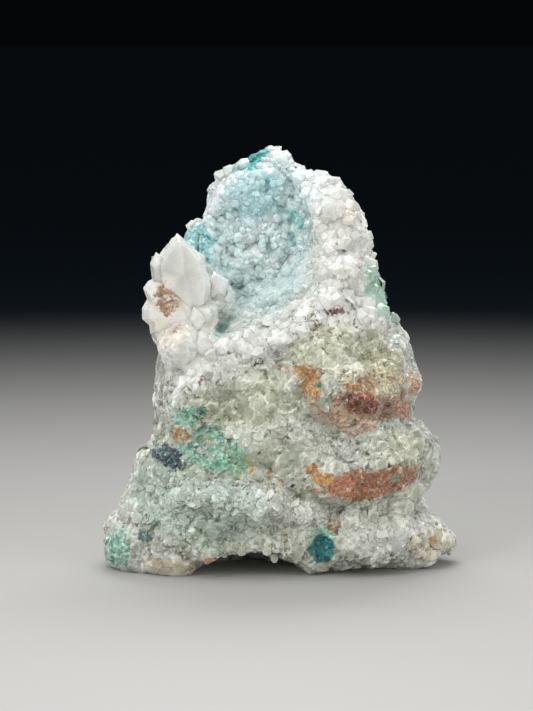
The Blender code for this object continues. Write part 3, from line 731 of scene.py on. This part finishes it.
def join(tree, node, links):
    """Set or link a node's inputs, by name or number."""
    for key, value in links.items():
        if isinstance(value, bpy.types.NodeSocket):
            tree.links.new(value, node.inputs[key])
        else:
            node.inputs[key].default_value = value


def number(tree, operation, *values):
    return add_node(tree, "Math", dict(enumerate(values)), operation=operation).outputs[0]


def vector(tree, operation, links):
    return add_node(tree, "VectorMath", links, operation=operation).outputs[0]


def stored(tree, name, output="Fac"):
    """A value that the mesh stores, by its attribute's name."""
    return add_node(tree, "Attribute", attribute_name=name).outputs[output]


def mixed(tree, share, first, second, blend="MIX"):
    """A colour between two colours."""
    links = {0: share, 6: first, 7: second}
    return add_node(tree, "Mix", data_type="RGBA", blend_type=blend, links=links).outputs[2]


def ramped(tree, value, low, high, start=0.0, end=1.0):
    """A value carried smoothly from one range to another."""
    links = {"Value": value, "From Min": low, "From Max": high, "To Min": start, "To Max": end}
    return add_node(tree, "MapRange", links, interpolation_type="SMOOTHSTEP").outputs[0]


def noise_value(tree, place, scale, detail=3.0, roughness=0.55):
    links = {"Vector": place, "Scale": scale, "Detail": detail, "Roughness": roughness}
    return add_node(tree, "TexNoise", links).outputs["Fac"]


def object_place(tree):
    return add_node(tree, "TexCoord").outputs["Object"]


def mineral_group():
    """Shader group for the stone's colours: its ground colour in, its stained colour and mask out."""
    outputs = [("Colour", "Color"), ("Stained", "Float")]
    tree, entry, leave = new_group("mineral stains", [("Ground", "Color")], outputs)
    place = vector(tree, "SCALE", {0: object_place(tree), 3: 1 / MM})
    torn = number(tree, "SUBTRACT", noise_value(tree, place, *TORN), 0.5)
    specks = number(tree, "SUBTRACT", noise_value(tree, place, *SPECKS), 0.5)
    darker = ramped(tree, noise_value(tree, place, *SHADE), 0.40, 0.60, 0.45, 1.6)
    gaps = ramped(tree, noise_value(tree, place, *GRIT), 0.53, 0.60, 0.0, 0.65)
    body = mixed(tree, 1.0, entry["Ground"], WASH_GROUND, "DIVIDE")
    washed = mixed(tree, 1.0, stored(tree, "wash", "Vector"), body, "MULTIPLY")
    colour = mixed(tree, stored(tree, "wash_level"), entry["Ground"], washed)
    dirt = ramped(tree, noise_value(tree, place, *DIRT), 0.56, 0.585)
    clusters = ramped(tree, noise_value(tree, place, *DIRT_CLUSTERS), 0.42, 0.54)
    for share in (clusters, stored(tree, "dirty"), 0.8):
        dirt = number(tree, "MULTIPLY", dirt, share)
    earth = ramped(tree, noise_value(tree, place, *EARTH), 0.50, 0.62)
    earth = mixed(tree, earth, (*linear("olive"), 1), (*linear("dark_brown"), 1))
    colour = mixed(tree, dirt, colour, earth)
    stained = 0.0
    for name in ("stain", "spot"):
        facts = stored(tree, name + "_level", "Vector")
        level, speckle, strength = add_node(tree, "SeparateXYZ", {0: facts}).outputs
        value = number(tree, "MULTIPLY_ADD", torn, ramped(tree, speckle, 0.0, 1.0, 1.0, 3.4), level)
        value = number(tree, "MULTIPLY_ADD", number(tree, "MULTIPLY", specks, 1.2), speckle, value)
        value = number(tree, "MULTIPLY_ADD", speckle, -0.36, value)
        mask = number(tree, "MULTIPLY", ramped(tree, value, -0.25, 0.30), strength)
        broken = number(tree, "MULTIPLY", gaps, ramped(tree, speckle, 0.0, 1.0, 0.35, 1.0))
        mask = number(tree, "MULTIPLY", mask, number(tree, "SUBTRACT", 1.0, broken))
        tint = mixed(tree, 1.0, stored(tree, name, "Vector"), darker, "MULTIPLY")
        colour = mixed(tree, mask, colour, tint)
        stained = number(tree, "MAXIMUM", mask, stained)
    tree.links.new(colour, leave["Colour"])
    tree.links.new(stained, leave["Stained"])
    return tree


def sugar_group():
    """Shader group for the fine grain of quartz: a height for bump, a mask of its sparkle, and the
    normal of small crystal facets."""
    inputs = [(label, "Float") for label in ("Scale", "Facet Scale", "Facet Tilt")]
    outputs = [("Height", "Float"), ("Sparkle", "Float"), ("Facets", "Vector")]
    tree, entry, leave = new_group("sugary grain", inputs, outputs)
    place = vector(tree, "SCALE", {0: object_place(tree), 3: 1 / MM})
    cells = add_node(tree, "TexVoronoi", {"Vector": place, "Scale": entry["Scale"]}).outputs
    height = number(tree, "MULTIPLY_ADD", noise_value(tree, place, *ROUGH), 0.8, cells["Distance"])
    wander = add_node(tree, "TexNoise", {"Vector": place, "Scale": 1.1, "Detail": 2.0}).outputs["Color"]
    bent = vector(tree, "MULTIPLY_ADD", {0: wander, 1: (0.9, 0.9, 0.9), 2: place})
    facets = add_node(tree, "TexVoronoi", {"Vector": bent, "Scale": entry["Facet Scale"]}).outputs["Color"]
    tilt = vector(tree, "SUBTRACT", {0: facets, 1: (0.5, 0.5, 0.5)})
    tilt = vector(tree, "SCALE", {0: tilt, 3: entry["Facet Tilt"]})
    normal = vector(tree, "ADD", {0: add_node(tree, "NewGeometry").outputs["Normal"], 1: tilt})
    tree.links.new(height, leave["Height"])
    tree.links.new(add_node(tree, "SeparateColor", {"Color": cells["Color"]}).outputs[0], leave["Sparkle"])
    tree.links.new(vector(tree, "NORMALIZE", {0: normal}), leave["Facets"])
    return tree


def ground_colour(tree, crest_light):
    """Colour of the quartz: painted shade in the crevices, the body, and white crests that are partly
    sugar and partly painted highlight; whiter where sugary, green on the back.
    """
    colours = bpy.context.scene.specimen_colours
    names = ("quartz", "crest_light", "crevice_shade", "back")
    quartz, white, crevice_shade, back = ((*getattr(colours, name), 1) for name in names)
    sugar = stored(tree, "sugar")
    low, high = mixed(tree, sugar, crevice_shade, quartz), mixed(tree, sugar, quartz, white)
    # Low crest light gives the crevice colour as painted shade; high crest light gives white, partly sugar
    # and partly painted highlight
    body = mixed(tree, ramped(tree, crest_light, 0.10, 0.60), low, high)
    body = mixed(tree, ramped(tree, crest_light, 0.60, 1.0, 0.0, 0.9), body, white)
    body = mixed(tree, 1.0, body, ramped(tree, stored(tree, "tone"), 0.0, 1.0, 0.80, 1.16), "MULTIPLY")
    return mixed(tree, back_share_of(tree), body, mixed(tree, 1.0, body, back, "MULTIPLY"))


def back_share_of(tree):
    """How far a point lies on the back, from 0 at the front to 1 behind."""
    place = object_place(tree)
    depth = add_node(tree, "SeparateXYZ", {0: place}).outputs["Y"]
    depth = number(tree, "MULTIPLY_ADD", noise_value(tree, place, 160.0, 2.0), 8 * MM, depth)
    return ramped(tree, depth, 12 * MM, 20 * MM, 0.0, 0.8)


def crystal_crest_light(tree, values):
    """How light a crystal is: whiter towards its tip, partly as milky quartz and partly as painted light
    over painted shade at its foot, and with painted highlights along its edges.
    """
    sides = add_node(tree, "SeparateXYZ", {0: stored(tree, "facet", "Vector")}).outputs
    inside = number(tree, "MINIMUM", number(tree, "MINIMUM", sides[0], sides[1]), sides[2])
    edge = ramped(tree, inside, values["edge_highlight_width"], 0.0)
    crest_light = number(tree, "MULTIPLY_ADD", stored(tree, "rise"), values["tip_white_and_shade"], values["foot_white"])
    return number(tree, "MULTIPLY_ADD", edge, values["edge_highlight"], crest_light)


def shared_group(name, build):
    """A shader group that every quartz material uses, built once."""
    return bpy.data.node_groups.get(name) or build()


def quartz_material(name, finish):
    """Quartz that takes its crest light, with its painted highlights and painted shade, from the skin or
    from each crystal, and its stains from its place.
    """
    values = PLAIN | FINISHES[finish]
    made = bpy.data.materials.new(name)
    made.use_nodes = True
    tree = made.node_tree
    crest_light = crystal_crest_light(tree, values) if "tip_white_and_shade" in values else stored(tree, "crest_light")
    stains = shared_group("mineral stains", mineral_group)
    stains = add_node(tree, "Group", {"Ground": ground_colour(tree, crest_light)}, node_tree=stains).outputs
    scales = {"Scale": values["sugar_scale"], "Facet Scale": values["facet_scale"],
              "Facet Tilt": values["facet_tilt"]}
    sugar = add_node(tree, "Group", scales, node_tree=shared_group("sugary grain", sugar_group)).outputs
    bump = add_node(tree, "Bump", {"Height": sugar["Height"], "Normal": sugar["Facets"],
                                   "Strength": values["bump"], "Distance": BUMP_DEPTH})
    rough = ramped(tree, sugar["Sparkle"], 0.0, 1.0, values["rough"] * 0.6, values["rough"] * 1.5)
    join(tree, tree.nodes["Principled BSDF"], {
        "Base Color": stains["Colour"],
        "Roughness": number(tree, "MULTIPLY_ADD", stains["Stained"], STAIN_ROUGHER, rough),
        "Normal": bump.outputs["Normal"],
        "IOR": QUARTZ_IOR,
        "Transmission Weight": values["clear"],
        "Coat Weight": values["coat"],
        "Coat Roughness": COAT_ROUGHNESS,
        "Coat Normal": sugar["Facets"],
        "Subsurface Weight": values["milky"],
        "Subsurface Radius": (1.0, 1.0, 1.0),
        "Subsurface Scale": values["milky_depth"] * MM,
    })
    return made


def cad_tree():
    """The CAD solids' surface, for rays from the camera."""
    bm = bmesh.new()
    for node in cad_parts.values():
        bm.from_mesh(node.data)
    tree = BVHTree.FromBMesh(bm)
    bm.free()
    return tree


def gaps_to(mesh, steepness, points):
    """How far points lie from the vertices of a plate that face the front less than a steepness."""
    corners, normals = mesh_arrays(mesh)
    found = search_tree(corners[np.abs(normals[:, 1]) < steepness])
    return np.array([found.find(point)[2] for point in points])


def crowded(mesh, layers, chance):
    """Lift a skin by layers of crowded grains, each with its kind and its relief and how clearly it is
    marked at every vertex, and store each point's crest light, lighter on high grains and a painted
    highlight on free rims with painted shade in the seams, and the tone of its grain."""
    points, normals = mesh_arrays(mesh)
    lift, crest_light, tone = np.zeros(len(points)), np.full(len(points), 0.5), np.full(len(points), 0.5)
    for (spacing, rise, rounds), relief, marked in layers:
        height, rim_highlight, seam_shade, tones = GrainGrowth(mesh, spacing, rise, chance).lift(points)
        lift += smoothed(mesh, (height * relief)[:, None], rounds)[:, 0]
        # Painted light and shade: lighter on high grains and on free rims, darker in the seams
        crest_light += (HEIGHT_LIGHT * height / rise + RIM_HIGHLIGHT * rim_highlight - SEAM_SHADE * seam_shade) * marked
        tone += (tones - 0.5) * TONE_SPREAD * marked
    move_points(mesh, points + normals * lift[:, None])
    set_attribute(mesh, "crest_light", np.clip(crest_light, 0, 1))
    set_attribute(mesh, "tone", np.clip(tone, 0, 1))


class SPECIMEN_OT_stone_body(bpy.types.Operator):
    """The stone itself: a fine granular skin over the shape of the CAD solid"""

    bl_idname = "specimen.stone_body"
    bl_label = "Stone body"

    def execute(self, context):
        chance = np.random.default_rng(3)
        tree = cad_tree()
        body = fine_copy("quartz_matrix", context.scene.specimen_sizes.skin_cell, "stone_body", True)
        mesh = body.data
        points, normals = mesh_arrays(mesh)
        regions = cut_into_regions(points, normals)
        standing = np.clip(points[:, 2:] / (1.5 * MM), 0.0, 1.0)
        sugar, flaky = textures_at(points, regions, tree)
        facing = np.clip(-2 * normals[:, 1:2] - 0.2, 0, 1)
        quiet = smoothed(mesh, np.clip((sugar - flaky - 0.5) / 0.4, 0, 1)[:, None] * facing, 6)
        relief = smoothed(mesh, np.array([REGION_RELIEF[name] for name in regions]), 8) * standing
        relief *= 1 - LESS_IN_QUIET * quiet
        relief[:, 2] *= np.clip(0.35 + 1.1 * sugar, 0, 1)
        points += (smoothed(mesh, points, QUIET_ROUNDS) - points) * quiet * standing
        move_points(mesh, points - normals * standing * (SKIN_SINK + RELIEF_SINK * relief[:, 1:2]))
        marked = np.sqrt(relief.T) * np.clip(0.45 + 0.8 * sugar, 0, 1)
        crowded(mesh, list(zip((LOBE, GRAIN, SMALL_GRAIN), relief.T, marked)), chance)
        paint(mesh, mesh_arrays(mesh)[0], regions, tree)
        mesh.materials.append(quartz_material("granular_quartz", "skin"))
        seat(body, "milky_quartz", "quartz_matrix")
        return {"FINISHED"}


class SPECIMEN_OT_druse(bpy.types.Operator):
    """The blue druse: a fine skin over the crust in the hollow, and its crowded quartz points"""

    bl_idname = "specimen.druse"
    bl_label = "Druse of the hollow"

    def execute(self, context):
        sizes = context.scene.specimen_sizes
        chance = np.random.default_rng(5)
        tree = cad_tree()
        crust = fine_copy("druse_crust", sizes.druse_cell, "druse_skin")
        mesh = crust.data
        points = smoothed(mesh, mesh_arrays(mesh)[0], DRUSE_ROUNDS)
        middle = (points.min(axis=0) + points.max(axis=0)) / 2
        points[:, [0, 2]] = middle[[0, 2]] + (points[:, [0, 2]] - middle[[0, 2]]) * CRUST_SPREAD
        nearness = 1 - np.minimum(gaps_to(mesh, RIM_NORMAL, points) / RIM_WIDTH, 1.0)
        points[:, 1] += CRUST_SINK + nearness ** 2 * RIM_SINK
        move_points(mesh, points)
        whole = np.ones(len(points))
        layers = [(DRUSE_GRAIN, whole * 0.20, whole * 0.45), (DRUSE_SMALL, whole * 0.12, whole * 0.4)]
        crowded(mesh, layers, chance)
        points, normals = mesh_arrays(mesh)
        paint(mesh, points, np.full(len(points), "hollow"), tree)
        mesh.materials.append(quartz_material("druse_skin", "crust"))
        seat(crust, "blue_druse", "druse_crust")
        facing = (normals[:, 1] < -0.6) * (1 - bareness(points, tree))
        plans = {
            "druse_points": (240, sizes.druse_point * 0.8, 0.45, (0.6, 0.65, 0.95), POINTED, "druse"),
            "druse_glints": (420, sizes.druse_point * 0.33, 0.6, (1.0, 0.6, 1.0), POINTED, "druse"),
        }
        for name, plan in plans.items():
            grow_crystals(name, mesh, facing, plan, tree, chance, "blue_druse")
        return {"FINISHED"}


class SPECIMEN_OT_grains(bpy.types.Operator):
    """The quartz grains of the block, the wall and the back, grown on the stone's skin"""

    bl_idname = "specimen.grains"
    bl_label = "Quartz grains"

    def execute(self, context):
        sizes = context.scene.specimen_sizes
        small, back = sizes.sugar_grain, sizes.back_grain * 0.85
        body, plate = bpy.data.objects["stone_body"].data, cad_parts["druse_crust"].data
        points, normals = mesh_arrays(body)
        regions = cut_into_regions(points, normals)
        tree = cad_tree()
        sugar, flaky = textures_at(points, regions, tree)
        bare_share = (points[:, 2] > 1.2 * MM) * (1 - 0.85 * bareness(points, tree))
        flat = np.abs(normals[:, 1]) > FLAT_NORMAL
        by_rim = flat * (gaps_to(plate, RIM_NORMAL, points) < NEAR_CRUST)
        off_plate = gaps_to(plate, ANY_NORMAL, points) > OFF_CRUST
        massive = np.clip((sugar - flaky - 0.6) / 0.25, 0, 1) * off_plate * (normals[:, 1] < 0.1)
        massive *= 1 + 0.6 * (regions == "wall")
        loose, front, side = flat * flaky ** 2, ("block",), ("wall", "hollow")
        plans = [
            ("block_flakes", 7, front, loose, 520, small * 1.9, 0.30, (0.6, 0.08, 0.85), FLAKE, "grain"),
            ("block_sugar", 6, front, loose, 1000, small, 0.50, (1.0, 0.6, 0.9), POINTED, "grain"),
            ("wall_sugar", 8, side, flat * sugar, 160, small, 0.40, (0.9, 0.3, 1.0), FLAKE, "grain"),
            ("back_grains", 9, ("back",), flat * sugar, 900, back, 0.45, (0.5, 0.5, 0.9), POINTED, "grain"),
            ("rim_sugar", 10, front + side, by_rim, 260, small * 1.8, 0.30, (0.7, 0.1, 0.8), FLAKE, "grain"),
            ("white_crystals", 12, front + side, massive, 330, small * 2.9, 0.35, (0.5, 0.55, 0.95), POINTED,
             "white"),
        ]
        for name, seed, allowed, share, *plan in plans:
            weights = np.isin(regions, allowed) * bare_share * share
            grow_crystals(name, body, weights, plan, tree, np.random.default_rng(seed), "milky_quartz")
        return {"FINISHED"}


def add_crystal(bm, tree, outline, summit, behind, front_share, chance):
    """A crystal with a faceted front: rings behind, at and before its outline, and a low summit."""
    depth = surface_under(tree, *summit).y - SUMMIT_OUT
    outline, centre = np.array(outline, dtype=float), np.array(summit, dtype=float)
    count = len(outline)
    uneven = REAR_DEPTH * behind * (1 + 0.12 * np.sin(2.4 * np.arange(count)))
    planned = [(centre + (outline - centre) * REAR_SHARE, uneven)]
    for share, deep in ((0.9, 2.2 * behind), (1.0, behind), (front_share, 0.12 * behind)):
        loose = chance.uniform(-OUTLINE_JITTER, OUTLINE_JITTER, (count, 2)) * (share != 1.0)
        planned.append((centre + (outline - centre) * share + loose, np.full(count, deep)))
    rings = [[bm.verts.new(at_depth(*place, depth + deep * MM)) for place, deep in zip(*ring)]
             for ring in planned]
    top = bm.verts.new(at_depth(*summit, depth))
    pairs = [(side, (side + 1) % count) for side in range(count)]
    for low, high in zip(rings, rings[1:]):
        for a, b in pairs:
            bm.faces.new((low[a], low[b], high[b], high[a]))
    for a, b in pairs:
        bm.faces.new((rings[-1][a], rings[-1][b], top))
    bm.faces.new(rings[0][::-1])


class SPECIMEN_OT_shoulder(bpy.types.Operator):
    """The large milky crystals at the upper left"""

    bl_idname = "specimen.shoulder"
    bl_label = "Shoulder crystals"

    def execute(self, context):
        chance = np.random.default_rng(11)
        tree = cad_tree()
        bm = bmesh.new()
        for _, outline, summit, behind, front_share in SHOULDER_CRYSTALS:
            add_crystal(bm, tree, outline, summit, behind, front_share, chance)
        bmesh.ops.recalc_face_normals(bm, faces=bm.faces)
        bmesh.ops.bevel(bm, geom=list(bm.edges), offset=CHIPPED, segments=1, affect="EDGES",
                        clamp_overlap=True)
        bmesh.ops.triangulate(bm, faces=bm.faces)
        mesh = bpy.data.meshes.new("shoulder_crystals")
        bm.to_mesh(mesh)
        bm.free()
        points = mesh_arrays(mesh)[0]
        paint(mesh, points, np.full(len(points), "cluster"), tree)
        mottle = np.array([noise.noise(Vector(point) / (1.1 * MM)) for point in points])
        set_attribute(mesh, "crest_light", np.clip(0.90 + 0.35 * mottle, 0, 1))
        set_attribute(mesh, "tone", np.clip(0.55 + 0.5 * mottle, 0, 1))
        material = quartz_material("shoulder_quartz", "shoulder")
        seat(linked("shoulder_crystals", mesh, material), "milky_quartz")
        return {"FINISHED"}


def stage_floor(colour):
    """A wide pale floor, painted bright in a pool in front of the specimen and darkening into painted
    shade away from it.
    """
    bm = bmesh.new()
    bmesh.ops.create_circle(bm, cap_ends=True, segments=96, radius=FLOOR_RADIUS)
    mesh = bpy.data.meshes.new("floor")
    bm.to_mesh(mesh)
    bm.free()
    made = bpy.data.materials.new("floor")
    made.use_nodes = True
    tree = made.node_tree
    # Painted pool of light: the floor's colour darkens into painted shade away from a point in front of the
    # specimen
    away = add_node(tree, "VectorMath", {0: object_place(tree), 1: FLOOR_LIGHT_POOL}, operation="DISTANCE")
    share = ramped(tree, away.outputs["Value"], -0.04, 0.52)
    join(tree, tree.nodes["Principled BSDF"], {
        "Base Color": mixed(tree, share, (*colour, 1), FLOOR_FAR_SHADE),
        "Roughness": 0.7,
        "Specular IOR Level": 0.0,
    })
    return linked("floor", mesh, made)


def softbox(name, place, size, power):
    light = bpy.data.lights.new(name, "AREA")
    light.shape = "RECTANGLE"
    light.size, light.size_y = size
    light.energy = power
    obj = linked(name, light)
    obj.location = place
    obj.rotation_euler = (Vector((0, 0, 0.03)) - Vector(place)).to_track_quat("-Z", "Y").to_euler()
    obj.visible_camera = False


def dark_to_camera(tree):
    """A world that lights the stone evenly, while the camera sees it dark."""
    seen = add_node(tree, "LightPath").outputs["Is Camera Ray"]
    tree.links.new(mixed(tree, seen, SURROUNDINGS, SEEN_DARK), tree.nodes["Background"].inputs["Color"])


class SPECIMEN_OT_stage(bpy.types.Operator):
    """Floor, soft studio lights, surroundings and the camera"""

    bl_idname = "specimen.stage"
    bl_label = "Stage"

    def execute(self, context):
        scene = context.scene
        stage_floor(scene.specimen_colours.floor)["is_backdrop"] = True
        for light in LIGHTS:
            softbox(*light)
        scene.world = bpy.data.worlds.new("surroundings")
        scene.world.use_nodes = True
        dark_to_camera(scene.world.node_tree)
        camera = bpy.data.cameras.new("camera")
        camera.sensor_fit = "VERTICAL"
        camera.sensor_height = SENSOR
        camera.lens = LENS
        camera.clip_start, camera.clip_end = 0.01, 20.0
        scene.camera = linked("camera", camera)
        forward = Vector((0, math.cos(ELEVATION), -math.sin(ELEVATION)))
        scene.camera.location = AIM - forward * DISTANCE
        scene.camera.rotation_euler = forward.to_track_quat("-Z", "Y").to_euler()
        scene.view_settings.view_transform = "Standard"
        return {"FINISHED"}


class SPECIMEN_PT_panel(bpy.types.Panel):
    """Lists the specimen's pieces"""

    bl_idname = "SPECIMEN_PT_panel"
    bl_label = "Chrysocolla quartz"
    bl_space_type = "VIEW_3D"
    bl_region_type = "UI"
    bl_category = "Specimen"

    def draw(self, context):
        for group in (context.scene.specimen_sizes, context.scene.specimen_colours):
            for name in group.bl_rna.properties.keys():
                if name not in ("rna_type", "name"):
                    self.layout.prop(group, name)
        for operator in OPERATORS:
            self.layout.operator(operator.bl_idname)


OPERATORS = (SPECIMEN_OT_stone_body, SPECIMEN_OT_druse, SPECIMEN_OT_grains, SPECIMEN_OT_shoulder,
             SPECIMEN_OT_stage)
CLASSES = (SpecimenSizes, SpecimenColours, *OPERATORS, SPECIMEN_PT_panel)


def register():
    for made in CLASSES:
        bpy.utils.register_class(made)
    bpy.types.Scene.specimen_sizes = bpy.props.PointerProperty(type=SpecimenSizes)
    bpy.types.Scene.specimen_colours = bpy.props.PointerProperty(type=SpecimenColours)


def unregister():
    del bpy.types.Scene.specimen_colours
    del bpy.types.Scene.specimen_sizes
    for made in reversed(CLASSES):
        bpy.utils.unregister_class(made)


def write_sizes():
    """Make plain lists of numbers of the CAD model's box and the finished model's box; they are not kept."""
    boxes = {"cad": CAD_BOX, "visual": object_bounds()}
    {name: [list(corner) for corner in box] for name, box in boxes.items()}


def main():
    register()
    bpy.ops.specimen.stone_body()
    bpy.ops.specimen.druse()
    bpy.ops.specimen.grains()
    bpy.ops.specimen.shoulder()
    bpy.ops.specimen.stage()
    write_sizes()


if __name__ == "__main__":
    main()
